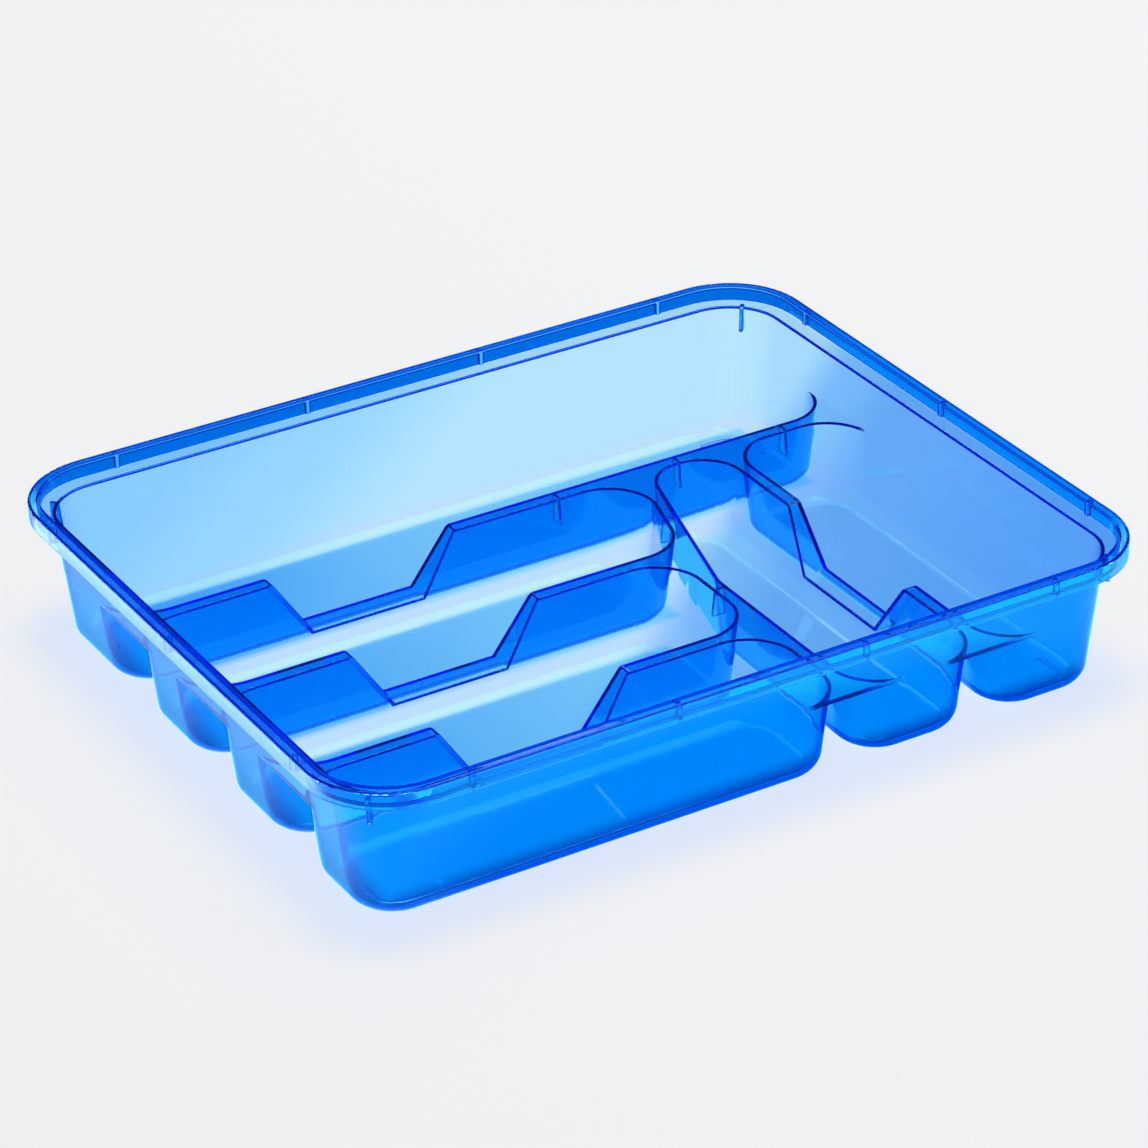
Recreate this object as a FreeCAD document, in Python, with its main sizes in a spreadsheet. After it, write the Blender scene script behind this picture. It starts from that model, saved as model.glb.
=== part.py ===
import FreeCAD, Part
import math
import os
import Sketcher

# A transparent moulded cutlery tray with six wells, hollow dividers and a stacking rim.
# Origin: middle of the base. X runs along the tray's length, Y to its back, Z up.
doc = FreeCAD.newDocument("CutleryTray")

# Driving dimensions, in millimetres and degrees
driving_sizes = {
    # the whole moulding
    "tray_length": 400.0,
    "tray_width": 328.0,
    "tray_height": 72.0,
    "wall": 1.8,
    "draft": 6.4,
    # the rim, measured from its top and from its outer edge
    "rim_radius": 38.4,
    "rim_wall": 1.6,
    "flange_width": 5.4,
    "flange_round": 1.1,
    "skirt_depth": 8.6,
    "ledge_depth": 6.9,
    "ledge_round": 1.0,
    "rib_wall": 2.0,
    "rib_near_share": 0.115,
    "rib_far_share": 0.3585,
    "rib_side_share": 0.343,
    "rib_gap": 0.6,
    "stop_wall": 2.0,
    "stop_depth": 20.5,
    "stop_gap": 2.4,
    # the deck that joins the wells, and the dividers' middle lines as shares of the tray's sides
    "deck_height": 40.4,
    "deck_inset": 15.0,
    "land": 7.0,
    "back_share": 0.2095,
    "rear_share": -0.0168,
    "front_share": -0.247,
    "inner_share": 0.122,
    "outer_share": 0.2975,
    "kink_share": -0.1143,
    "slant": 15.0,
    # the wells
    "well_radius": 22.5,
    "end_flat": 0.4,
    "bottom_radius": 9.5,
    # the finger notches
    "notch_length": 56.0,
    "notch_run": 18.0,
    "notch_rise": 0.5,
    "notch_tab": 4.0,
    "notch_round": 3.2,
    # gussets inside the hollow dividers, and the feet
    "gusset_wall": 1.5,
    "gusset_depth": 12.0,
    "gusset_left_share": 0.08,
    "gusset_middle_share": 0.2413,
    "gusset_right_share": 0.3875,
    "gusset_slant": 64.0,
    "gusset_kink": 6.0,
    "foot_height": 0.8,
    "foot_wall": 2.0,
    "foot_inset": 28.5,
    "foot_leg": 10.0,
}
sheet = doc.addObject("Spreadsheet::Sheet", "Sizes")
for row, (alias, number) in enumerate(driving_sizes.items(), start=1):
    sheet.set(f"A{row}", alias)
    sheet.set(f"B{row}", str(number))
    sheet.setAlias(f"B{row}", alias)
doc.recompute()

# Heights and offsets worked out from the sheet
lean = "tan(Sizes.draft)"
floor_under = "Sizes.foot_height"
floor_top = "(Sizes.foot_height + Sizes.wall)"
deck_top = "Sizes.deck_height"
deck_under = "(Sizes.deck_height - Sizes.wall)"
ledge_top = "(Sizes.tray_height - Sizes.ledge_depth)"
ledge_under = "(Sizes.tray_height - Sizes.ledge_depth - Sizes.wall)"
flange_under = "(Sizes.tray_height - Sizes.rim_wall)"
skirt_under = "(Sizes.tray_height - Sizes.skirt_depth)"
stop_under = "(Sizes.tray_height - Sizes.stop_depth)"
half_length = "Sizes.tray_length / 2"
half_width = "Sizes.tray_width / 2"
half_land = "Sizes.land / 2"
back_divider = "(Sizes.back_share * Sizes.tray_width)"
rear_divider = "(Sizes.rear_share * Sizes.tray_width)"
front_divider = "(Sizes.front_share * Sizes.tray_width)"
inner_divider = "(Sizes.inner_share * Sizes.tray_length)"
outer_divider = "(Sizes.outer_share * Sizes.tray_length)"
kink_place = "(Sizes.kink_share * Sizes.tray_width)"
step_outer = "(Sizes.flange_width - Sizes.rim_wall)"
inner_at_ledge = f"(Sizes.deck_inset - ({ledge_under} - {deck_top}) * {lean})"

# A notch's sheet lies just above the start of the wells' bottom curve
notch_top = "(Sizes.foot_height + Sizes.bottom_radius + Sizes.notch_rise + Sizes.wall)"
notch_under = "(Sizes.foot_height + Sizes.bottom_radius + Sizes.notch_rise)"
notch_slope = f"(Sizes.notch_run / ({deck_top} - {notch_top}))"
notch_shift = f"(Sizes.wall * sqrt(1 + {notch_slope} ^ 2))"

# The narrow well's back end is one full round between its slanted side and its straight side
slant_width = (
    f"({outer_divider} - {half_land} - {inner_divider}"
    f" - ({back_divider} - {half_land} - {kink_place}) * tan(Sizes.slant)"
    f" - {half_land} / cos(Sizes.slant))"
)
end_radius = f"(({slant_width} - Sizes.end_flat) / (1 + tan(45 - Sizes.slant / 2)))"

nodes = {}


def value(expression):
    return float(sheet.evalExpression(expression))


def bind(sketch, constraint, expression):
    index = sketch.addConstraint(constraint)
    sketch.setExpression(f"Constraints[{index}]", expression)


def new_body(label):
    body = doc.addObject("PartDesign::Body", label)
    body.Label = label
    nodes[label] = body
    return body


def origin_plane(body, role):
    return next(item for item in body.Origin.OriginFeatures if item.Role == role)


def new_sketch(body, name, role, offset):
    sketch = body.newObject("Sketcher::SketchObject", name)
    sketch.AttachmentSupport = [(origin_plane(body, role), "")]
    sketch.MapMode = "FlatFace"
    sketch.setExpression("AttachmentOffset.Base.z", offset)
    return sketch


def level_sketch(body, name, height):
    return new_sketch(body, name, "XY_Plane", height)


def section_sketch(body, name, along, place):
    # a sketch standing across the tray, with the given direction and Z as its axes
    if along == "x":
        return new_sketch(body, name, "XZ_Plane", f"-({place})")
    return new_sketch(body, name, "YZ_Plane", place)


# Outlines


def side_line(side):
    # a side as a unit normal and its distance from the origin
    if side[0] == "x":
        return FreeCAD.Vector(1, 0, 0), value(side[1])
    if side[0] == "y":
        return FreeCAD.Vector(0, 1, 0), value(side[1])
    turn = math.radians(value("Sizes.slant"))
    normal = FreeCAD.Vector(math.cos(turn), -math.sin(turn), 0)
    kink = FreeCAD.Vector(value(inner_divider), value(kink_place), 0)
    hand = 1 if side[0] == "slant_right" else -1
    return normal, normal.dot(kink) + hand * value(side[1])


def meeting_point(first, second):
    (n, c), (m, d) = side_line(first), side_line(second)
    span = n.x * m.y - n.y * m.x
    return FreeCAD.Vector((c * m.y - d * n.y) / span, (n.x * d - m.x * c) / span, 0)


def draw_rounded(sketch, sides, radii):
    # sides in counter-clockwise order; radius i rounds the corner between side i and the next
    count = len(sides)
    corners = [meeting_point(sides[i], sides[(i + 1) % count]) for i in range(count)]
    ways = [(corners[i] - corners[i - 1]).normalize() for i in range(count)]
    turns = [ways[i].getAngle(ways[(i + 1) % count]) for i in range(count)]
    trims = [value(radii[i]) * math.tan(turns[i] / 2) for i in range(count)]
    first = sketch.GeometryCount
    for i in range(count):
        start = corners[i - 1] + ways[i] * trims[i - 1]
        end = corners[i] - ways[i] * trims[i]
        left = FreeCAD.Vector(-ways[i].y, ways[i].x, 0)
        circle = Part.Circle(end + left * value(radii[i]), FreeCAD.Vector(0, 0, 1), value(radii[i]))
        begin = math.atan2(-left.y, -left.x)
        sketch.addGeometry(Part.LineSegment(start, end))
        sketch.addGeometry(Part.ArcOfCircle(circle, begin, begin + turns[i]))
    for i, side in enumerate(sides):
        line, arc = first + 2 * i, first + 2 * i + 1
        following = first + (2 * i + 2) % (2 * count)
        sketch.addConstraint(Sketcher.Constraint("Tangent", line, 2, arc, 1))
        sketch.addConstraint(Sketcher.Constraint("Tangent", arc, 2, following, 1))
        bind(sketch, Sketcher.Constraint("Radius", arc, value(radii[i])), radii[i])
        place_side(sketch, line, side)


def place_side(sketch, line, side):
    if side[0] == "x":
        sketch.addConstraint(Sketcher.Constraint("Vertical", line))
        bind(sketch, Sketcher.Constraint("DistanceX", -1, 1, line, 1, value(side[1])), side[1])
    elif side[0] == "y":
        sketch.addConstraint(Sketcher.Constraint("Horizontal", line))
        bind(sketch, Sketcher.Constraint("DistanceY", -1, 1, line, 1, value(side[1])), side[1])
    else:
        kink = add_point(sketch, inner_divider, kink_place)
        heading = "-(90 + Sizes.slant)" if side[0] == "slant_right" else "90 - Sizes.slant"
        angle = Sketcher.Constraint("Angle", line, math.radians(value(heading)))
        bind(sketch, angle, f"({heading}) * 1 deg")
        bind(sketch, Sketcher.Constraint("Distance", kink, 1, line, value(side[1])), side[1])


def add_point(sketch, x, y):
    point = sketch.addGeometry(Part.Point(FreeCAD.Vector(value(x), value(y), 0)), True)
    bind(sketch, Sketcher.Constraint("DistanceX", -1, 1, point, 1, value(x)), x)
    bind(sketch, Sketcher.Constraint("DistanceY", -1, 1, point, 1, value(y)), y)
    return point


def draw_polygon(sketch, corners):
    # corners are pairs of expressions
    spots = [FreeCAD.Vector(value(x), value(y), 0) for x, y in corners]
    count = len(corners)
    first = sketch.GeometryCount
    for i in range(count):
        sketch.addGeometry(Part.LineSegment(spots[i], spots[(i + 1) % count]))
    for i, (x, y) in enumerate(corners):
        line, following = first + i, first + (i + 1) % count
        sketch.addConstraint(Sketcher.Constraint("Coincident", line, 2, following, 1))
        bind(sketch, Sketcher.Constraint("DistanceX", -1, 1, line, 1, value(x)), x)
        bind(sketch, Sketcher.Constraint("DistanceY", -1, 1, line, 1, value(y)), y)


def tray_outline(inset):
    # the tray's rounded rectangle, drawn in from the rim's outer edge
    sides = [
        ("y", f"-({half_width} - {inset})"),
        ("x", f"{half_length} - {inset}"),
        ("y", f"{half_width} - {inset}"),
        ("x", f"-({half_length} - {inset})"),
    ]
    return sides, [f"Sizes.rim_radius - {inset}"] * 4


def well_outline(name, grow):
    # a well's plan at the deck's top, moved outwards by grow
    front = ("y", f"-({half_width} - Sizes.deck_inset + {grow})")
    back = ("y", f"{half_width} - Sizes.deck_inset + {grow}")
    left = ("x", f"-({half_length} - Sizes.deck_inset + {grow})")
    right = ("x", f"{half_length} - Sizes.deck_inset + {grow}")
    slanted = f"{half_land} - {grow}"
    corner = f"Sizes.well_radius + {grow}"
    tray_corner = f"Sizes.rim_radius - Sizes.deck_inset + {grow}"
    end = f"{end_radius} + {grow}"

    def before(axis, divider):
        return axis, f"{divider} - {half_land} + {grow}"

    def after(axis, divider):
        return axis, f"{divider} + {half_land} - {grow}"

    outlines = {
        "well_back": (
            [after("y", back_divider), right, back, left],
            [corner, tray_corner, tray_corner, corner],
        ),
        "well_left_rear": (
            [after("y", rear_divider), ("slant_left", slanted), before("y", back_divider), left],
            [corner] * 4,
        ),
        "well_left_middle": (
            [after("y", front_divider), before("x", inner_divider), before("y", rear_divider), left],
            [corner] * 4,
        ),
        "well_left_front": (
            [front, before("x", inner_divider), before("y", front_divider), left],
            [corner, corner, corner, tray_corner],
        ),
        "well_right_inner": (
            [front, before("x", outer_divider), before("y", back_divider),
             ("slant_right", slanted), after("x", inner_divider)],
            [corner, end, end, corner, corner],
        ),
        "well_right_outer": (
            [front, right, before("y", back_divider), after("x", outer_divider)],
            [tray_corner, corner, corner, corner],
        ),
    }
    return outlines[name]


# Features


def extrude(kind, body, sketch, length, up, taper="0"):
    feature = body.newObject(f"PartDesign::{kind}", f"{sketch.Name}_{kind}")
    feature.Profile = sketch
    feature.Reversed = up == (kind == "Pocket")
    feature.setExpression("Length", length)
    feature.setExpression("TaperAngle", taper)
    sketch.Visibility = False
    return feature


def cut_across(body, sketch, width):
    # a cut that reaches the same way to both sides of its sketch
    feature = body.newObject("PartDesign::Pocket", f"{sketch.Name}_cut")
    feature.Profile = sketch
    feature.Midplane = True
    feature.setExpression("Length", width)
    return feature


def round_edges(body, feature, radius, wanted):
    # rounds the edges of a feature that the test picks out
    doc.recompute()
    names = [f"Edge{i}" for i, edge in enumerate(feature.Shape.Edges, start=1) if wanted(edge)]
    rounding = body.newObject("PartDesign::Fillet", f"{feature.Name}_round")
    rounding.Base = (feature, names)
    rounding.setExpression("Radius", radius)
    return rounding


def lies_at(height):
    level = value(height)
    return lambda edge: abs(edge.BoundBox.ZMin - level) + abs(edge.BoundBox.ZMax - level) < 1e-6


def lies_outside(height, inset):
    # an edge at this height on the tray's outline or beyond it
    reach = value(f"{half_length} - {inset}")
    side = value(f"{half_width} - {inset}")
    corner = value(f"Sizes.rim_radius - {inset}")
    flat = lies_at(height)

    def test(edge):
        middle = edge.valueAt((edge.FirstParameter + edge.LastParameter) / 2)
        over_x = max(abs(middle.x) - (reach - corner), 0)
        over_y = max(abs(middle.y) - (side - corner), 0)
        return flat(edge) and math.hypot(over_x, over_y) > corner - 1e-4

    return test


def ring(label, bottom, top, outer, inner):
    # a plain upright ring between two insets
    body = new_body(label)
    outside = level_sketch(body, f"{label}_outside", bottom)
    draw_rounded(outside, *tray_outline(outer))
    extrude("Pad", body, outside, f"{top} - {bottom}", up=True)
    inside = level_sketch(body, f"{label}_inside", bottom)
    draw_rounded(inside, *tray_outline(inner))
    return body, extrude("Pocket", body, inside, f"{top} - {bottom}", up=True)


# Rim


def make_flange():
    top = "Sizes.tray_height"
    body, hollow = ring("rim_flange", flange_under, top, "0", "Sizes.flange_width")
    round_edges(body, hollow, "Sizes.flange_round", lies_outside(top, "0"))


def make_skirt():
    ring("rim_skirt", skirt_under, flange_under, "0", "Sizes.rim_wall")


def make_ledge():
    body = new_body("stacking_ledge")
    outside = level_sketch(body, "ledge_outside", ledge_under)
    draw_rounded(outside, *tray_outline(step_outer))
    extrude("Pad", body, outside, f"{flange_under} - {ledge_under}", up=True)
    band = level_sketch(body, "ledge_band", ledge_top)
    draw_rounded(band, *tray_outline("Sizes.flange_width"))
    extrude("Pocket", body, band, f"{flange_under} - {ledge_top}", up=True)
    mouth = level_sketch(body, "ledge_mouth", ledge_under)
    draw_rounded(mouth, *tray_outline(inner_at_ledge))
    opening = extrude("Pocket", body, mouth, "Sizes.wall", up=True, taper="Sizes.draft")
    inner_edge = lies_at(ledge_top)
    band_edge = lies_outside(ledge_top, "Sizes.flange_width")
    round_edges(body, opening, "Sizes.ledge_round", lambda edge: inner_edge(edge) and not band_edge(edge))


def make_upper_wall():
    body = new_body("upper_wall")
    rise = f"{ledge_under} - {deck_top}"
    outside = level_sketch(body, "upper_outside", deck_top)
    draw_rounded(outside, *tray_outline("(Sizes.deck_inset - Sizes.wall)"))
    extrude("Pad", body, outside, rise, up=True, taper="Sizes.draft")
    inside = level_sketch(body, "upper_inside", deck_top)
    draw_rounded(inside, *tray_outline("Sizes.deck_inset"))
    extrude("Pocket", body, inside, rise, up=True, taper="Sizes.draft")


def box(name, sizes, base, turn=0.0):
    block = doc.addObject("Part::Box", name)
    for side, expression in zip(("Length", "Width", "Height"), sizes):
        block.setExpression(side, expression)
    block.Placement.Rotation = FreeCAD.Rotation(FreeCAD.Vector(0, 0, 1), turn)
    for axis, expression in zip("xyz", base):
        block.setExpression(f"Placement.Base.{axis}", expression)
    return block


def group(label, members):
    compound = doc.addObject("Part::Compound", label)
    compound.Label = label
    compound.Links = members
    nodes[label] = compound
    return compound


def make_ribs():
    # short cross ribs in the rim's channel, between the skirt and the ledge's band
    across = "(Sizes.flange_width - 2 * Sizes.rim_wall)"
    bottom = f"{skirt_under} + Sizes.rib_gap"
    tall = f"{flange_under} - ({bottom})"
    half_rib = "Sizes.rib_wall / 2"
    ribs = []
    near, far = "Sizes.rib_near_share * Sizes.tray_length", "Sizes.rib_far_share * Sizes.tray_length"
    for along in (f"-{far}", f"-{near}", near, far):
        for near_edge in (f"{half_width} - {step_outer}", f"-({half_width} - Sizes.rim_wall)"):
            base = (f"{along} - {half_rib}", near_edge, bottom)
            ribs.append(box(f"rib_{len(ribs)}", ("Sizes.rib_wall", across, tall), base))
    side = "Sizes.rib_side_share * Sizes.tray_width"
    for along in (f"-{side}", "0", side):
        for near_edge in (f"{half_length} - {step_outer}", f"-({half_length} - Sizes.rim_wall)"):
            base = (near_edge, f"{along} - {half_rib}", bottom)
            ribs.append(box(f"rib_{len(ribs)}", (across, "Sizes.rib_wall", tall), base))
    group("rim_ribs", ribs)


def make_stops():
    # upright plates under the ledge's corners, which space a stack of trays
    outer = "(Sizes.rim_radius - Sizes.flange_width - Sizes.stop_gap)"
    # each plate starts inside the wall, between its inner face above and its outer face below
    rises = f"({ledge_under} - {deck_top} + {stop_under} - {deck_top})"
    start = f"(Sizes.rim_radius - Sizes.deck_inset + (Sizes.wall + {rises} * {lean}) / 2)"
    tall = f"{ledge_under} - {stop_under}"
    from_centre = f"{start} / sqrt(2)"
    aside = "Sizes.stop_wall / 2 / sqrt(2)"
    blanks = []
    for turn, hand_x, hand_y in ((45, 1, 1), (135, -1, 1), (225, -1, -1), (315, 1, -1)):
        base = (
            f"{hand_x} * ({half_length} - Sizes.rim_radius + {from_centre}) + {hand_y} * {aside}",
            f"{hand_y} * ({half_width} - Sizes.rim_radius + {from_centre}) - {hand_x} * {aside}",
            stop_under,
        )
        blanks.append(box(f"stop_{turn}", (f"{outer} - {start}", "Sizes.stop_wall", tall), base, turn))
    blank = doc.addObject("Part::Compound", "stop_blanks")
    blank.Links = blanks
    stops = doc.addObject("Part::Cut", "stacking_stops")
    stops.Label = "stacking_stops"
    stops.Base = blank
    stops.Tool = nodes["upper_wall"]
    nodes["stacking_stops"] = stops


# Wells and the deck between them

well_names = (
    "well_back",
    "well_left_rear",
    "well_left_middle",
    "well_left_front",
    "well_right_inner",
    "well_right_outer",
)

# each notch: the way it runs, its divider, its middle along the divider, and the two wells it joins
left_middle = f"({inner_divider} - {half_land} - ({half_length} - Sizes.deck_inset)) / 2"
right_middle = f"({back_divider} - {half_land} - ({half_width} - Sizes.deck_inset)) / 2"
notches = {
    "notch_back": ("x", back_divider, left_middle, ("well_back", "well_left_rear")),
    "notch_rear": ("x", rear_divider, left_middle, ("well_left_rear", "well_left_middle")),
    "notch_front": ("x", front_divider, left_middle, ("well_left_middle", "well_left_front")),
    "notch_right": ("y", outer_divider, right_middle, ("well_right_inner", "well_right_outer")),
}
notch_floor = "Sizes.notch_length / 2"
notch_mouth = "(Sizes.notch_length / 2 + Sizes.notch_run)"
notch_reach = "(Sizes.notch_length / 2 + Sizes.notch_run + Sizes.notch_tab)"
under_floor = f"({notch_floor} - Sizes.wall * {notch_slope} + {notch_shift})"
under_mouth = f"({notch_floor} + ({deck_under} - {notch_top}) * {notch_slope} + {notch_shift})"
cut_width = f"Sizes.land + 2 * Sizes.wall + 2 * Sizes.deck_height * {lean}"


def make_well(name):
    body = new_body(name)
    outside = level_sketch(body, f"{name}_outside", deck_under)
    draw_rounded(outside, *well_outline(name, f"Sizes.wall * (1 - {lean})"))
    extrude("Pad", body, outside, f"{deck_under} - {floor_under}", up=False, taper="-Sizes.draft")
    inside = level_sketch(body, f"{name}_inside", deck_under)
    draw_rounded(inside, *well_outline(name, f"(-Sizes.wall * {lean})"))
    cavity = extrude("Pocket", body, inside, f"{deck_under} - {floor_top}", up=False, taper="-Sizes.draft")
    bowl = round_edges(body, cavity, "Sizes.bottom_radius - Sizes.wall", lies_at(floor_top))
    round_edges(body, bowl, "Sizes.bottom_radius", lies_at(floor_under))
    for notch, (along, divider, middle, joined) in notches.items():
        if name in joined:
            cut = section_sketch(body, f"{name}_{notch}", along, divider)
            draw_polygon(cut, mirrored(middle, [(under_floor, notch_under), (under_mouth, deck_under),
                                                (under_mouth, deck_top)]))
            cut_across(body, cut, cut_width)


def mirrored(middle, half):
    # a closed outline from its half on the plus side of a middle line
    right = [(f"{middle} + {x}", z) for x, z in half]
    left = [(f"{middle} - {x}", z) for x, z in reversed(half)]
    return right + left


def make_deck():
    body = new_body("divider_deck")
    outside = level_sketch(body, "deck_outside", deck_under)
    draw_rounded(outside, *tray_outline(f"(Sizes.deck_inset - Sizes.wall * (1 - {lean}))"))
    extrude("Pad", body, outside, "Sizes.wall", up=True, taper="Sizes.draft")
    for name in well_names:
        mouth = level_sketch(body, f"deck_{name}", deck_top)
        draw_rounded(mouth, *well_outline(name, "0"))
        extrude("Pocket", body, mouth, "Sizes.wall", up=False, taper="-Sizes.draft")
    for notch, (along, divider, middle, joined) in notches.items():
        gap = section_sketch(body, f"deck_{notch}", along, divider)
        draw_polygon(gap, mirrored(middle, [(notch_reach, deck_under), (notch_reach, deck_top)]))
        cut_across(body, gap, cut_width)


def make_notch(name):
    # the divider's sheet folded down through a finger notch, flush with the wells on both sides
    along, divider, middle, joined = notches[name]
    body = new_body(name)
    profile = section_sketch(body, f"{name}_profile", along, divider)
    upper = [(notch_floor, notch_top), (notch_mouth, deck_top), (notch_reach, deck_top)]
    lower = [(notch_reach, deck_under), (under_mouth, deck_under), (under_floor, notch_under)]
    draw_polygon(profile, mirrored(middle, upper + lower))
    sheet_pad = body.newObject("PartDesign::Pad", f"{name}_sheet")
    sheet_pad.Profile = profile
    sheet_pad.Midplane = True
    sheet_pad.setExpression("Length", cut_width)
    trim = section_sketch(body, f"{name}_trim", "y" if along == "x" else "x", middle)
    low_half = f"({half_land} + ({deck_top} - {notch_under}) * {lean})"
    draw_polygon(trim, mirrored(divider, [(low_half, notch_under), (half_land, deck_top)]))
    below, above = f"{notch_under} - Sizes.wall", f"{deck_top} + Sizes.wall"
    draw_polygon(trim, mirrored(divider, [(f"({cut_width})", below), (f"({cut_width})", above)]))
    flush = cut_across(body, trim, f"2 * {notch_reach} + 2 * Sizes.wall")
    centre, fold = value(middle), value(notch_mouth)

    def at_fold(edge):
        spot = edge.CenterOfMass
        from_middle = abs((spot.x if along == "x" else spot.y) - centre)
        return lies_at(deck_top)(edge) and abs(from_middle - fold) < 1e-6

    round_edges(body, flush, "Sizes.notch_round", at_fold)


# Gussets and feet


def make_gussets():
    # plates across the hollow dividers, under the deck
    top_half = f"({half_land} - Sizes.wall * (1 - {lean}))"
    low_half = f"({top_half} + Sizes.gusset_depth * {lean})"
    places = [
        ("Sizes.gusset_left_share * Sizes.tray_length", back_divider, 0),
        ("Sizes.gusset_middle_share * Sizes.tray_length", back_divider, 0),
        ("Sizes.gusset_right_share * Sizes.tray_length", back_divider, 0),
        (f"{inner_divider} + Sizes.gusset_slant * sin(Sizes.slant)",
         f"{kink_place} + Sizes.gusset_slant * cos(Sizes.slant)", 90 - value("Sizes.slant")),
        (inner_divider, f"{kink_place} - Sizes.gusset_kink", 90),
    ]
    plates = []
    for x, y, turn in places:
        plate = doc.addObject("Part::Wedge", f"gusset_{len(plates)}")
        for side, expression in (
            ("Xmin", "-Sizes.gusset_wall / 2"), ("Xmax", "Sizes.gusset_wall / 2"),
            ("X2min", "-Sizes.gusset_wall / 2"), ("X2max", "Sizes.gusset_wall / 2"),
            ("Ymin", "0"), ("Ymax", "Sizes.gusset_depth"),
            ("Zmin", f"-{low_half}"), ("Zmax", low_half),
            ("Z2min", f"-{top_half}"), ("Z2max", top_half),
        ):
            plate.setExpression(side, expression)
        upright = FreeCAD.Rotation(FreeCAD.Vector(1, 0, 0), 90)
        plate.Placement.Rotation = FreeCAD.Rotation(FreeCAD.Vector(0, 0, 1), turn) * upright
        plate.setExpression("Placement.Base.x", x)
        plate.setExpression("Placement.Base.y", y)
        plate.setExpression("Placement.Base.z", f"{deck_under} - Sizes.gusset_depth")
        plates.append(plate)
    group("divider_gussets", plates)


def make_feet():
    # a low ridge round each outer corner of the base
    body = doc.addObject("PartDesign::Body", "foot")
    sketch = level_sketch(body, "foot_plan", "0")
    centre = (f"{half_length} - Sizes.rim_radius", f"{half_width} - Sizes.rim_radius")
    outer = "Sizes.rim_radius - Sizes.foot_inset"
    inner = f"{outer} - Sizes.foot_wall"
    draw_corner_strip(sketch, centre, outer, inner)
    extrude("Pad", body, sketch, floor_under, up=True)
    across = doc.addObject("Part::Mirroring", "foot_left")
    across.Source = body
    across.Normal = FreeCAD.Vector(1, 0, 0)
    feet = [body, across]
    for foot in (body, across):
        front = doc.addObject("Part::Mirroring", f"{foot.Name}_front")
        front.Source = foot
        front.Normal = FreeCAD.Vector(0, 1, 0)
        feet.append(front)
    group("corner_feet", feet)


def draw_corner_strip(sketch, centre, outer, inner):
    # a quarter ring with a straight leg at each end
    middle = FreeCAD.Vector(value(centre[0]), value(centre[1]), 0)
    leg = value("Sizes.foot_leg")
    hub = add_point(sketch, *centre)
    up = FreeCAD.Vector(0, 0, 1)
    big, small = value(outer), value(inner)
    outer_spots = [(big, -leg), (big, 0), (0, big), (-leg, big)]
    inner_spots = [(-leg, small), (0, small), (small, 0), (small, -leg)]
    corners = [middle + FreeCAD.Vector(x, y, 0) for x, y in outer_spots + inner_spots]
    quarter = math.pi / 2
    sketch.addGeometry(Part.LineSegment(corners[0], corners[1]))
    sketch.addGeometry(Part.ArcOfCircle(Part.Circle(middle, up, big), 0, quarter))
    sketch.addGeometry(Part.LineSegment(corners[2], corners[3]))
    sketch.addGeometry(Part.LineSegment(corners[3], corners[4]))
    sketch.addGeometry(Part.LineSegment(corners[4], corners[5]))
    sketch.addGeometry(Part.ArcOfCircle(Part.Circle(middle, up, small), 0, quarter))
    sketch.addGeometry(Part.LineSegment(corners[6], corners[7]))
    sketch.addGeometry(Part.LineSegment(corners[7], corners[0]))
    first = hub + 1
    right, arc_out, back, back_end, front, arc_in, left, front_end = range(first, first + 8)
    meetings = ((right, 2, arc_out, 1), (back, 1, arc_out, 2), (front, 2, arc_in, 2), (left, 1, arc_in, 1))
    for line, end, arc, tip in meetings:
        sketch.addConstraint(Sketcher.Constraint("Tangent", line, end, arc, tip))
    for line, other in ((back, back_end), (back_end, front), (left, front_end), (front_end, right)):
        sketch.addConstraint(Sketcher.Constraint("Coincident", line, 2, other, 1))
    sketch.addConstraint(Sketcher.Constraint("Coincident", arc_out, 3, hub, 1))
    sketch.addConstraint(Sketcher.Constraint("Coincident", arc_in, 3, hub, 1))
    bind(sketch, Sketcher.Constraint("Radius", arc_out, big), outer)
    bind(sketch, Sketcher.Constraint("Radius", arc_in, small), inner)
    for line in (right, back_end, left):
        sketch.addConstraint(Sketcher.Constraint("Vertical", line))
    for line in (back, front, front_end):
        sketch.addConstraint(Sketcher.Constraint("Horizontal", line))
    bind(sketch, Sketcher.Constraint("DistanceX", back, 2, hub, 1, leg), "Sizes.foot_leg")
    bind(sketch, Sketcher.Constraint("DistanceY", right, 1, hub, 1, leg), "Sizes.foot_leg")


make_flange()
make_skirt()
make_ledge()
make_upper_wall()
make_ribs()
make_stops()
for well in well_names:
    make_well(well)
make_deck()
for notch in notches:
    make_notch(notch)
make_gussets()
make_feet()
doc.recompute()

# Check every object before writing the sub-parts
failed = [item.Name for item in doc.Objects if "Invalid" in item.State or "Error" in item.State]
failed += [label for label, item in nodes.items() if item.Shape.isNull() or not item.Shape.isValid()]
if failed:
    raise RuntimeError(f"objects that failed: {failed}")
os.makedirs("parts", exist_ok=True)
for label, item in nodes.items():
    shape = item.Shape
    shape.exportStep(os.path.join("parts", f"{label}.step"))
    print(label, len(shape.Solids), "solids", round(shape.Volume), "mm3", shape.BoundBox)
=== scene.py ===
import math

import bmesh
import bpy
from mathutils import Matrix, Vector


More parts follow.
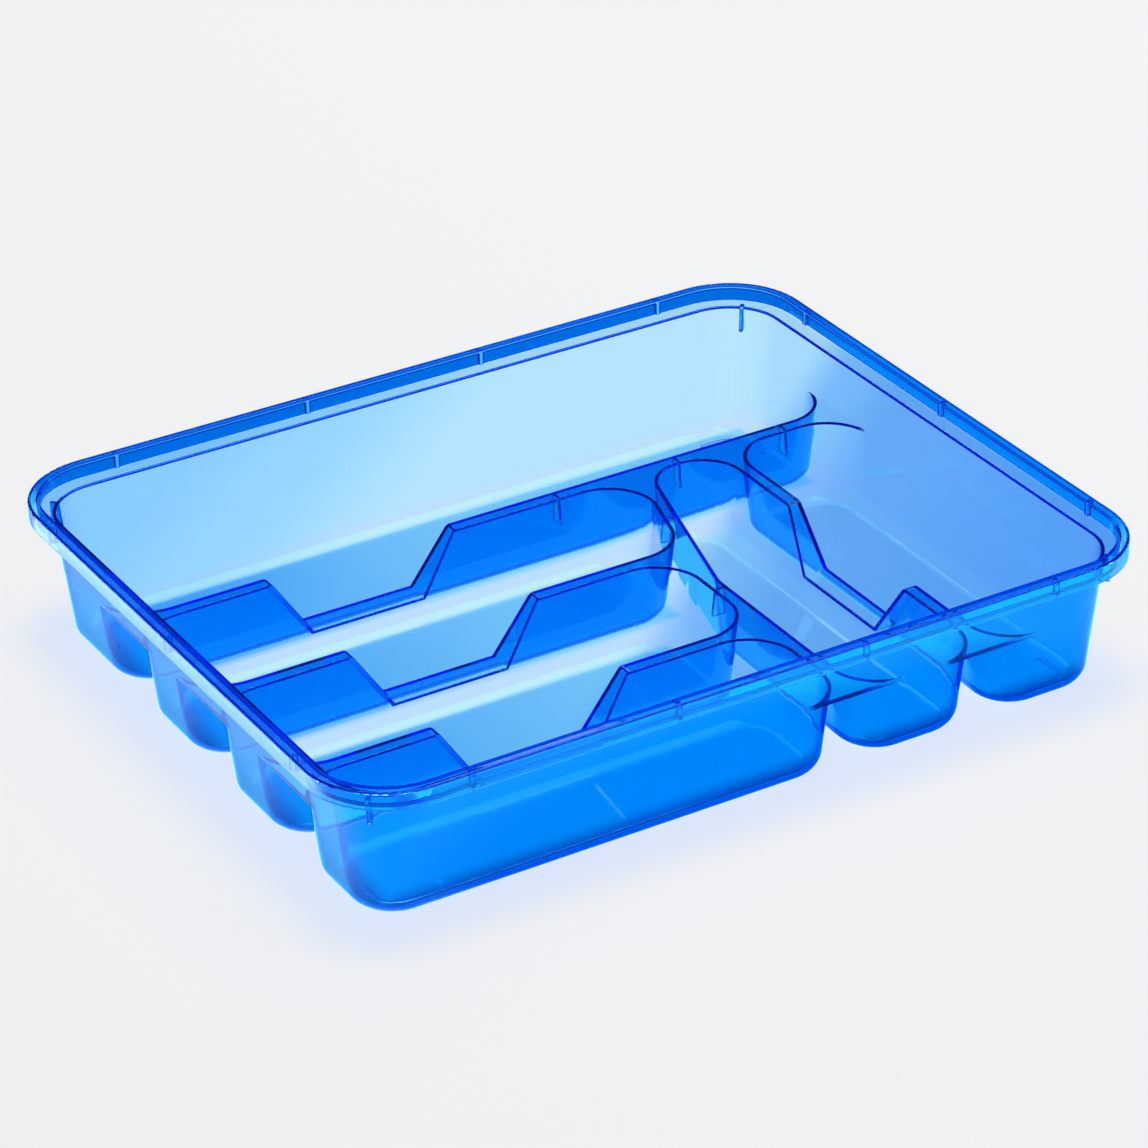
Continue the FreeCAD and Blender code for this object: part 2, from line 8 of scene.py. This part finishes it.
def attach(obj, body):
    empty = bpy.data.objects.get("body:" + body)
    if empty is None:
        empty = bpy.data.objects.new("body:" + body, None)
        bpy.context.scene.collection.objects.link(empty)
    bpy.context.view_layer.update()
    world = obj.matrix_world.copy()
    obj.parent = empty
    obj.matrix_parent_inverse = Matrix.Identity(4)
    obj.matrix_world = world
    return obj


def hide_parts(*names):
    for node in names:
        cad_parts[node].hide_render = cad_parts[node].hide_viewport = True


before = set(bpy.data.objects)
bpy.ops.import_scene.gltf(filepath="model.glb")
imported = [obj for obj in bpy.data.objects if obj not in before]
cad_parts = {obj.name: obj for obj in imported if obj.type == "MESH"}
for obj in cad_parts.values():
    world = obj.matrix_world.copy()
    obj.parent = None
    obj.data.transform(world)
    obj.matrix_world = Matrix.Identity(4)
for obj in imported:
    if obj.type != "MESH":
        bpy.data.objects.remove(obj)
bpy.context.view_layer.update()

print("frame loaded:", len(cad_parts), "nodes")


def toLinear(hexColour, gain=1.0):
    channels = [int(hexColour[at:at + 2], 16) / 255 for at in (1, 3, 5)]
    linear = [c / 12.92 if c <= 0.04045 else ((c + 0.055) / 1.055) ** 2.4 for c in channels]
    return (*[channel * gain for channel in linear], 1.0)


# settings that are sockets of other nodes become links
def addNode(tree, kind, settings=None):
    node = tree.nodes.new(kind)
    for name, value in (settings or {}).items():
        if isinstance(value, bpy.types.NodeSocket):
            tree.links.new(value, node.inputs[name])
        elif isinstance(name, str) and hasattr(node, name):
            setattr(node, name, value)
        else:
            node.inputs[name].default_value = value
    return node


def startMaterial(name):
    material = bpy.data.materials.new(name)
    material.use_nodes = True
    material.node_tree.nodes.clear()
    return material, material.node_tree


def reckon(tree, operation, first, second):
    return addNode(tree, "ShaderNodeMath", {"operation": operation, 0: first, 1: second}).outputs[0]


def reckonVector(tree, operation, first, second=(0, 0, 0)):
    return addNode(tree, "ShaderNodeVectorMath", {"operation": operation, 0: first, 1: second}).outputs[0]


def lengthOf(tree, vector):
    return addNode(tree, "ShaderNodeVectorMath", {"operation": "LENGTH", 0: vector}).outputs["Value"]


def mixColours(tree, share, first, second, way="MIX"):
    return addNode(tree, "ShaderNodeMix", {"data_type": "RGBA", "blend_type": way, "clamp_factor": False,
                                           0: share, 6: first, 7: second}).outputs[2]


# rises smoothly from nothing at start to one at end, which may lie on either side of it
def fade(tree, value, start, end):
    rise = addNode(tree, "ShaderNodeMapRange", {"interpolation_type": "SMOOTHSTEP", "Value": value,
                                                "From Min": start, "From Max": end})
    return rise.outputs["Result"]


def nodeHeights(name):
    heights = [corner[2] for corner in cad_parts[name].bound_box]
    return min(heights), max(heights)


# the tray is one shot of plastic, so the shells are joined and light meets no inner seam
mouldingPlan = {
    "name": "tray_moulding",
    "mergeGap": 1e-7,  # metres, like the other lengths here
    "flatAngle": 0.3,  # degrees, facets flatter than this become one face
    "crumb": 0.00003,  # shorter edges are closed up
    "sharpAngle": 45.0,  # degrees, sharper edges are rounded
    "edgeRound": 0.0005,
    "roundSteps": 3,
    "footTop": 0.0009,  # edges below this belong to the feet
    "level": 0.0001,  # edges this near to a height lie at it
    "smoothAngle": 32.0,  # degrees
    "flatWeight": 100,  # how far big faces decide the shading
}


def copyShells():
    bpy.ops.object.select_all(action="DESELECT")
    shells = []
    for name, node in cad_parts.items():
        shell = bpy.data.objects.new("shell_" + name, node.data.copy())
        bpy.context.scene.collection.objects.link(shell)
        shell.data.materials.clear()
        shell.select_set(True)
        bpy.context.view_layer.objects.active = shell
        if shell.data.has_custom_normals:
            bpy.ops.mesh.customdata_custom_splitnormals_clear()
        shells.append(shell)
    bpy.ops.object.mode_set(mode="EDIT")  # all the shells at once
    bpy.ops.mesh.select_all(action="SELECT")
    bpy.ops.mesh.remove_doubles(threshold=mouldingPlan["mergeGap"])
    bpy.ops.object.mode_set(mode="OBJECT")
    return shells


def joinShells(shells):
    moulding, others = shells[0], shells[1:]
    tools = bpy.data.collections.new("joined_shells")
    bpy.context.scene.collection.children.link(tools)
    for shell in others:
        bpy.context.scene.collection.objects.unlink(shell)
        tools.objects.link(shell)
    moulding.name = moulding.data.name = mouldingPlan["name"]
    union = moulding.modifiers.new("join", "BOOLEAN")
    union.operation = "UNION"
    union.solver = "MANIFOLD"
    union.operand_type = "COLLECTION"
    union.collection = tools
    bpy.ops.object.select_all(action="DESELECT")
    moulding.select_set(True)
    bpy.context.view_layer.objects.active = moulding
    bpy.ops.object.modifier_apply(modifier=union.name)
    for shell in others:
        bpy.data.objects.remove(shell)
    bpy.data.collections.remove(tools)
    moulding.data.materials.clear()
    return moulding


# sharp outer edges get a small round; the rim's top, the deck's underside and the feet keep theirs
def roundEdges(moulding):
    bpy.ops.object.mode_set(mode="EDIT")
    bpy.ops.mesh.select_all(action="SELECT")
    bpy.ops.mesh.dissolve_limited(angle_limit=math.radians(mouldingPlan["flatAngle"]))
    bpy.ops.mesh.remove_doubles(threshold=mouldingPlan["crumb"])
    bpy.ops.mesh.select_all(action="DESELECT")
    bpy.ops.mesh.select_mode(type="EDGE")
    deckUnder = nodeHeights("divider_deck")[0]
    rimTop = nodeHeights("rim_flange")[1]
    level = mouldingPlan["level"]
    mesh = bmesh.from_edit_mesh(moulding.data)
    for edge in mesh.edges:
        low, high = sorted(end.co.z for end in edge.verts)
        sharp = edge.is_convex and edge.calc_face_angle() > math.radians(mouldingPlan["sharpAngle"])
        underDeck = max(abs(low - deckUnder), abs(high - deckUnder)) < level
        if sharp and not underDeck and mouldingPlan["footTop"] < low < rimTop - level:
            edge.select_set(True)
    bmesh.update_edit_mesh(moulding.data)
    bpy.ops.mesh.bevel(offset=mouldingPlan["edgeRound"], segments=mouldingPlan["roundSteps"],
                       clamp_overlap=False, loop_slide=False)
    bpy.ops.object.mode_set(mode="OBJECT")


def smoothMoulding(moulding):
    bpy.ops.object.shade_smooth_by_angle(angle=math.radians(mouldingPlan["smoothAngle"]))
    evenNormals = moulding.modifiers.new("even", "WEIGHTED_NORMAL")  # big flats keep their shading flat
    evenNormals.keep_sharp = True
    evenNormals.weight = mouldingPlan["flatWeight"]
    bpy.ops.object.modifier_apply(modifier=evenNormals.name)


# clear polystyrene with a blue dye, injection moulded in a polished mould: a single wall is pale; the deep
# blue of two or three walls is partly dye, mostly painted on the floor behind; navy edges are painted there
# and by a faint painted glow
plasticLook = {
    "ior": 1.58,
    "roughness": (0.02, 0.05),
    "hazeSize": 0.030,  # metres, patches of slightly duller surface
    "hazeDetail": 3.0,
    "hazeSpan": (0.3, 0.7),
    "flowSize": 0.045,  # metres, slow waves left by the melt
    "flowDetail": 1.0,
    "flowDepth": 0.00002,
    "gloss": "#50c4ff",
    "dye": "#10dcfe",  # what the dye leaves
    "dyeDensity": 420.0,  # per metre
    "paintedGlowColour": "#004bff",  # a faint painted navy glow of the plastic itself, so light caught between the faces ends up navy, never black
    "paintedGlowStrength": 0.005,
    "shade": "#dcecff",  # what each face leaves of lamp light on its way to the floor
}


def plasticRoughness(tree, place):
    haze = addNode(tree, "ShaderNodeTexNoise", {"Scale": 1 / plasticLook["hazeSize"], "Vector": place,
                                                "Detail": plasticLook["hazeDetail"]})
    start, end = plasticLook["hazeSpan"]
    low, high = plasticLook["roughness"]
    dull = addNode(tree, "ShaderNodeMapRange", {"Value": haze.outputs["Fac"], "From Min": start,
                                                "From Max": end, "To Min": low, "To Max": high})
    return dull.outputs["Result"]


def meltWaves(tree, place):
    flow = addNode(tree, "ShaderNodeTexNoise", {"Scale": 1 / plasticLook["flowSize"], "Vector": place,
                                                "Detail": plasticLook["flowDetail"]})
    waves = addNode(tree, "ShaderNodeBump", {"Distance": plasticLook["flowDepth"],
                                             "Height": flow.outputs["Fac"]})
    return waves.outputs["Normal"]


def clearBluePlastic():
    material, tree = startMaterial("dyed_polystyrene_polished_mould")
    place = addNode(tree, "ShaderNodeTexCoord").outputs["Object"]
    body = addNode(tree, "ShaderNodeBsdfPrincipled",
                   {"Base Color": (1, 1, 1, 1), "Transmission Weight": 1.0, "IOR": plasticLook["ior"],
                    "Specular Tint": toLinear(plasticLook["gloss"]),
                    # painted glow: the plastic emits a faint navy light of its own
                    "Emission Color": toLinear(plasticLook["paintedGlowColour"]),
                    "Emission Strength": plasticLook["paintedGlowStrength"],
                    "Roughness": plasticRoughness(tree, place), "Normal": meltWaves(tree, place)})
    dye = addNode(tree, "ShaderNodeVolumeAbsorption",
                  {"Color": toLinear(plasticLook["dye"]), "Density": plasticLook["dyeDensity"]})
    passing = addNode(tree, "ShaderNodeBsdfTransparent", {"Color": toLinear(plasticLook["shade"])})
    path = addNode(tree, "ShaderNodeLightPath")
    surface = addNode(tree, "ShaderNodeMixShader",
                      {0: path.outputs["Is Shadow Ray"], 1: body.outputs[0], 2: passing.outputs[0]})
    addNode(tree, "ShaderNodeOutputMaterial",
            {"Surface": surface.outputs[0], "Volume": dye.outputs["Volume"]})
    return material


moulding = joinShells(copyShells())
roundEdges(moulding)
smoothMoulding(moulding)
moulding.data.materials.append(clearBluePlastic())
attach(moulding, "root")
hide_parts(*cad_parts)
print("moulding joined:", len(moulding.data.polygons), "faces")


# pale studio floor that glows evenly where it is seen, with a painted bluer tint round the tray, and keeps
# a soft shadow
floorPlan = {
    "size": 12.0,  # metres, like the other lengths here
    "drop": 0.0002,  # below the feet
    "colour": "#f1f1f1",
    "glow": 0.85,  # share that glows for the camera, the rest takes the shadow
    "glowStrength": 1.06,
    "shown": "#f5f4f2",
    "paintedSpill": "#e2eaf8",  # painted bluer tint round the tray, standing for dyed light spilt there
    "nearSpan": (0.048, 0.014),  # outside the feet
}


# how far a place lies outside a level box, along each axis
def outsideBox(tree, place, centre, half):
    offset = reckonVector(tree, "ABSOLUTE", reckonVector(tree, "SUBTRACT", place, centre))
    return reckonVector(tree, "SUBTRACT", offset, half)


# the camera sees the even pale glow, and the painted tint near the feet
def floorSeen(tree, place):
    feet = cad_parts["corner_feet"].bound_box
    half = [max(abs(corner[axis]) for corner in feet) for axis in range(3)]
    outside = outsideBox(tree, place, (0, 0, 0), half)
    near = fade(tree, lengthOf(tree, reckonVector(tree, "MAXIMUM", outside)), *floorPlan["nearSpan"])
    return mixColours(tree, near, toLinear(floorPlan["shown"]), toLinear(floorPlan["paintedSpill"]))


# painted light: through one clear wall the floor shows a slanting pool of light painted on it
poolPlan = {
    "across": (-0.65, 0.76, 0.0),  # the direction in which the colours change
    "span": (-0.190, 0.242),  # metres in that direction
    "colours": [(0.0, "#82b6f6"), (0.262, "#99c3f6"), (0.345, "#b5d7fa"), (0.405, "#fcfcfc"),
                (0.714, "#fcfcfc"), (0.881, "#d3ecfc"), (1.0, "#c0e2fc")],
}


def poolColour(tree, place):
    across = addNode(tree, "ShaderNodeVectorMath",
                     {"operation": "DOT_PRODUCT", 0: place, 1: poolPlan["across"]}).outputs["Value"]
    start, end = poolPlan["span"]
    share = addNode(tree, "ShaderNodeMapRange", {"Value": across, "From Min": start, "From Max": end})
    pool = addNode(tree, "ShaderNodeValToRGB", {"Fac": share.outputs["Result"]})
    ramp = pool.color_ramp
    ramp.interpolation = "EASE"
    for stop in poolPlan["colours"][1:-1]:
        ramp.elements.new(stop[0])
    for element, (position, colour) in zip(ramp.elements, poolPlan["colours"]):
        element.position = position
        element.color = toLinear(colour)
    return pool.outputs["Color"]


# painted light: under a well's bottom the floor is painted in the blue of light that crossed the plastic,
# and next to it the floor is painted brighter
wellLight = {
    "wells": ("well_back", "well_left_rear", "well_left_middle", "well_left_front"),
    "flatDepth": 0.0002,  # metres, like the other lengths here
    "underSpan": (0.006, 0.0),  # outside a well's flat bottom
    "underAlong": (-0.15, 0.04),  # along x, from the left tint to the right one
    # painted shade under the wells, lighter to the right
    "paintedShadeLeft": "#7cc4ff",
    "paintedShadeRight": "#b8e8ff",
    "besideSpan": (0.030, 0.012),  # outside a well's flat bottom
    # painted brighter light next to a well's flat bottom
    "beside": "#fff0f8",
    "besideGain": 1.08,
}


def wellBottom(name):
    points = [corner.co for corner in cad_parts[name].data.vertices]
    lowest = min(point.z for point in points)
    flat = [point for point in points if point.z < lowest + wellLight["flatDepth"]]
    low = Vector((min(point.x for point in flat), min(point.y for point in flat), 0))
    high = Vector((max(point.x for point in flat), max(point.y for point in flat), 0))
    return (low + high) / 2, (high - low) / 2


def distanceFromWells(tree, place):
    nearest = floorPlan["size"]
    for name in wellLight["wells"]:
        outside = addNode(tree, "ShaderNodeSeparateXYZ", {0: outsideBox(tree, place, *wellBottom(name))})
        distance = reckon(tree, "MAXIMUM", outside.outputs["X"], outside.outputs["Y"])
        nearest = reckon(tree, "MINIMUM", nearest, distance)
    return nearest


def lightUnderWells(tree, place, x, pool):
    distance = distanceFromWells(tree, place)
    beside = fade(tree, distance, *wellLight["besideSpan"])
    paintedBrightened = mixColours(tree, beside, pool, toLinear(wellLight["beside"], wellLight["besideGain"]),
                          "MULTIPLY")
    tint = mixColours(tree, fade(tree, x, *wellLight["underAlong"]), toLinear(wellLight["paintedShadeLeft"]),
                      toLinear(wellLight["paintedShadeRight"]))
    # painted shade under a well's bottom
    dyed = mixColours(tree, 1.0, pool, tint, "MULTIPLY")
    return mixColours(tree, fade(tree, distance, *wellLight["underSpan"]), paintedBrightened, dyed)


# painted light: seen through more walls the floor is painted plain blue, and seen from inside an edge
# painted navy
wallPlan = {
    "severalFaces": 2.5,  # a ray that crossed more faces than this met several walls
    "manyFaces": 6.5,
    "several": "#00acff",
    "many": "#00e6ff",
    "rim": "#00ffff",  # many walls, with the front rim seen against the floor
    "rimGain": 1.5,
    "rimSpan": (-0.10, 0.0),  # metres along y
    "rimSoft": 0.03,
    "back": "#ffc4de",  # what is left of it behind the back rim
    "backSpan": (0.18, 0.24),  # metres along y
    "edgeBounces": 0.5,  # a ray mirrored more often than this was caught in an edge
    "edge": "#004cdc",
}


def throughManyWalls(tree, path, y):
    many = reckon(tree, "GREATER_THAN", path.outputs["Ray Depth"], wallPlan["manyFaces"])
    start, end = wallPlan["rimSpan"]
    soft = wallPlan["rimSoft"]
    atRim = reckon(tree, "MINIMUM", fade(tree, y, start, start + soft), fade(tree, y, end, end - soft))
    throughRim = mixColours(tree, atRim, toLinear(wallPlan["many"]),
                            toLinear(wallPlan["rim"], wallPlan["rimGain"]))
    blue = mixColours(tree, many, toLinear(wallPlan["several"]), throughRim)
    behind = fade(tree, y, *wallPlan["backSpan"])
    return mixColours(tree, behind, blue, toLinear(wallPlan["back"]), "MULTIPLY")


# painted contact shadow: the floor is painted darker where the wells' left and front edges come down on it
contactPlan = {
    "left": -0.174,  # metres along x
    "front": -0.136,  # metres along y
    "sharp": (-0.008, 0.003),  # metres past an edge, seen through one wall
    "wide": (-0.014, 0.003),  # the same through more walls
    "end": (0.007, 0.003),
    "colour": "#0038a4",
}


# painted light and shade that rays through the plastic see on the floor, by place and by how many faces
# they crossed
def floorThroughPlastic(tree, path, place, x, y):
    past = reckon(tree, "MAXIMUM", reckon(tree, "SUBTRACT", contactPlan["left"], x),
                  reckon(tree, "SUBTRACT", contactPlan["front"], y))
    end = fade(tree, past, *contactPlan["end"])
    sharp = reckon(tree, "MULTIPLY", end, fade(tree, past, *contactPlan["sharp"]))
    wide = reckon(tree, "MULTIPLY", end, fade(tree, past, *contactPlan["wide"]))
    contact = toLinear(contactPlan["colour"])
    pool = lightUnderWells(tree, place, x, poolColour(tree, place))
    oneWall = mixColours(tree, sharp, pool, contact)
    moreWalls = mixColours(tree, wide, throughManyWalls(tree, path, y), contact)
    several = reckon(tree, "GREATER_THAN", path.outputs["Ray Depth"], wallPlan["severalFaces"])
    straight = mixColours(tree, several, oneWall, moreWalls)
    caught = reckon(tree, "GREATER_THAN", path.outputs["Glossy Depth"], wallPlan["edgeBounces"])
    return mixColours(tree, caught, straight, toLinear(wallPlan["edge"]))


# painted reflections: the front walls mirror a blue painted before them, the left ends a bright floor next
# to them, and the rim a brighter strip further out, painted for mirrored rays only; all lengths are metres
# along x or y
mirrorPlan = {
    "gain": 1.9,
    "front": "#70e8ff",
    "left": "#a8c8ff",
    "leftAcross": (-0.182, -0.212),
    "leftAlong": (-0.155, -0.115),
    "shadePlace": (0.02, -0.155, 0.0),
    "shadeSqueeze": (0.4, 1.6, 1.0),  # makes the round shade long and narrow
    "shadeReach": (0.055, 0.090),
    "rimFront": "#64f8ff",
    "rimFrontGain": 3.8,
    "rimFrontAcross": (-0.197, -0.234),
    "rimFrontAlong": (-0.15, -0.08),
    "rimLeft": "#d6f3ff",
    "rimLeftGain": 3.4,
    "rimLeftAcross": (-0.226, -0.248),
    "rimLeftAlong": (-0.11, -0.05),
}


# a strip of painted reflection: across leads away from the tray, along ends it before the near corner
def mirrorStrip(tree, name, across, along):
    return reckon(tree, "MULTIPLY", fade(tree, across, *mirrorPlan[name + "Across"]),
                  fade(tree, along, *mirrorPlan[name + "Along"]))


def floorMirrored(tree, place, x, y):
    offset = reckonVector(tree, "SUBTRACT", place, mirrorPlan["shadePlace"])
    squeezed = reckonVector(tree, "MULTIPLY", offset, mirrorPlan["shadeSqueeze"])
    clear = fade(tree, lengthOf(tree, squeezed), *mirrorPlan["shadeReach"])
    gain = mirrorPlan["gain"]
    bright = mixColours(tree, mirrorStrip(tree, "left", x, y), toLinear(mirrorPlan["front"], gain),
                        toLinear(mirrorPlan["left"], gain))
    nearby = mixColours(tree, clear, toLinear(wallPlan["several"]), bright)
    front = mixColours(tree, mirrorStrip(tree, "rimFront", y, x), nearby,
                       toLinear(mirrorPlan["rimFront"], mirrorPlan["rimFrontGain"]))
    return mixColours(tree, mirrorStrip(tree, "rimLeft", x, y), front,
                      toLinear(mirrorPlan["rimLeft"], mirrorPlan["rimLeftGain"]))


# matt board that glows as if lit from below: plain and pale to the camera, and through the plastic or
# mirrored in it, painted light and shade by place
def litBoard():
    material, tree = startMaterial("matt_lit_board")
    path = addNode(tree, "ShaderNodeLightPath")
    camera, glossy = path.outputs["Is Camera Ray"], path.outputs["Is Glossy Ray"]
    place = addNode(tree, "ShaderNodeTexCoord").outputs["Object"]
    split = addNode(tree, "ShaderNodeSeparateXYZ", {0: place})
    x, y = split.outputs["X"], split.outputs["Y"]
    unseen = mixColours(tree, path.outputs["Is Reflection Ray"],
                        floorThroughPlastic(tree, path, place, x, y), floorMirrored(tree, place, x, y))
    colour = mixColours(tree, camera, unseen, floorSeen(tree, place))
    light = addNode(tree, "ShaderNodeEmission", {"Strength": floorPlan["glowStrength"], "Color": colour})
    board = addNode(tree, "ShaderNodeBsdfDiffuse", {"Color": toLinear(floorPlan["colour"])})
    direct = reckon(tree, "MAXIMUM", reckon(tree, "MULTIPLY", camera, floorPlan["glow"]), glossy)
    glow = reckon(tree, "MAXIMUM", direct, path.outputs["Is Transmission Ray"])
    surface = addNode(tree, "ShaderNodeMixShader", {0: glow, 1: board.outputs[0], 2: light.outputs[0]})
    addNode(tree, "ShaderNodeOutputMaterial", {"Surface": surface.outputs[0]})
    return material


def layFloor():
    bpy.ops.object.select_all(action="DESELECT")
    bpy.ops.mesh.primitive_plane_add(size=floorPlan["size"], location=(0, 0, -floorPlan["drop"]))
    floor = bpy.context.object
    floor.name = "studio_floor"
    floor.data.materials.append(litBoard())


layFloor()


# dim blue room and one large lamp panel overhead
lightPlan = {
    "room": "#1c5c94",
    "roomThrough": "#0050b8",  # what edges gather from all round
    "panelSize": (1.0, 3.0),  # metres
    "panelPlace": (0.75, 0.4, 1.6),
    "panelPower": 22.0,  # watts
}


def lightRoom():
    world = bpy.data.worlds.new("studio_room")
    world.use_nodes = True
    tree = world.node_tree
    tree.nodes.clear()
    path = addNode(tree, "ShaderNodeLightPath")
    tint = mixColours(tree, path.outputs["Is Transmission Ray"], toLinear(lightPlan["room"]),
                      toLinear(lightPlan["roomThrough"]))
    room = addNode(tree, "ShaderNodeBackground", {"Color": tint})
    addNode(tree, "ShaderNodeOutputWorld", {"Surface": room.outputs[0]})
    bpy.context.scene.world = world
    bpy.ops.object.light_add(type="AREA", location=lightPlan["panelPlace"])
    panel = bpy.context.object
    panel.name = "lamp_panel"
    panel.data.shape = "RECTANGLE"
    panel.data.size, panel.data.size_y = lightPlan["panelSize"]
    panel.data.energy = lightPlan["panelPower"]


lightRoom()
print("floor and lights set")


# the photograph's view, as a turn round the tray
cameraPlan = {
    "azimuth": -30.2921,  # degrees, like the next two
    "elevation": 29.3607,
    "roll": -1.2393,
    "distance": 1.999626,  # metres from the target
    "target": (-0.027322, -0.047196, 0.072),
    "focalPixels": 4672.1,
    "imagePixels": 1148,
    "sensor": 36.0,  # millimetres
}


def setCamera():
    azimuth, elevation, roll = (math.radians(cameraPlan[name]) for name in ("azimuth", "elevation", "roll"))
    turn = (Matrix.Rotation(azimuth, 4, "Z") @ Matrix.Rotation(math.pi / 2 - elevation, 4, "X")
            @ Matrix.Rotation(roll, 4, "Z"))
    away = turn @ Vector((0, 0, cameraPlan["distance"]))
    lens = bpy.data.cameras.new("photo_view")
    lens.sensor_fit = "HORIZONTAL"
    lens.sensor_width = cameraPlan["sensor"]
    lens.lens = cameraPlan["focalPixels"] / cameraPlan["imagePixels"] * cameraPlan["sensor"]
    camera = bpy.data.objects.new("photo_view", lens)
    bpy.context.scene.collection.objects.link(camera)
    camera.matrix_world = Matrix.Translation(Vector(cameraPlan["target"]) + away) @ turn
    bpy.context.scene.camera = camera


setCamera()

# light crosses many clear walls before it leaves the tray
bounceLimit = 40
scene = bpy.context.scene
scene.view_settings.view_transform = "Standard"
scene.cycles.max_bounces = bounceLimit
scene.cycles.glossy_bounces = bounceLimit
scene.cycles.transmission_bounces = bounceLimit
scene.cycles.transparent_max_bounces = bounceLimit
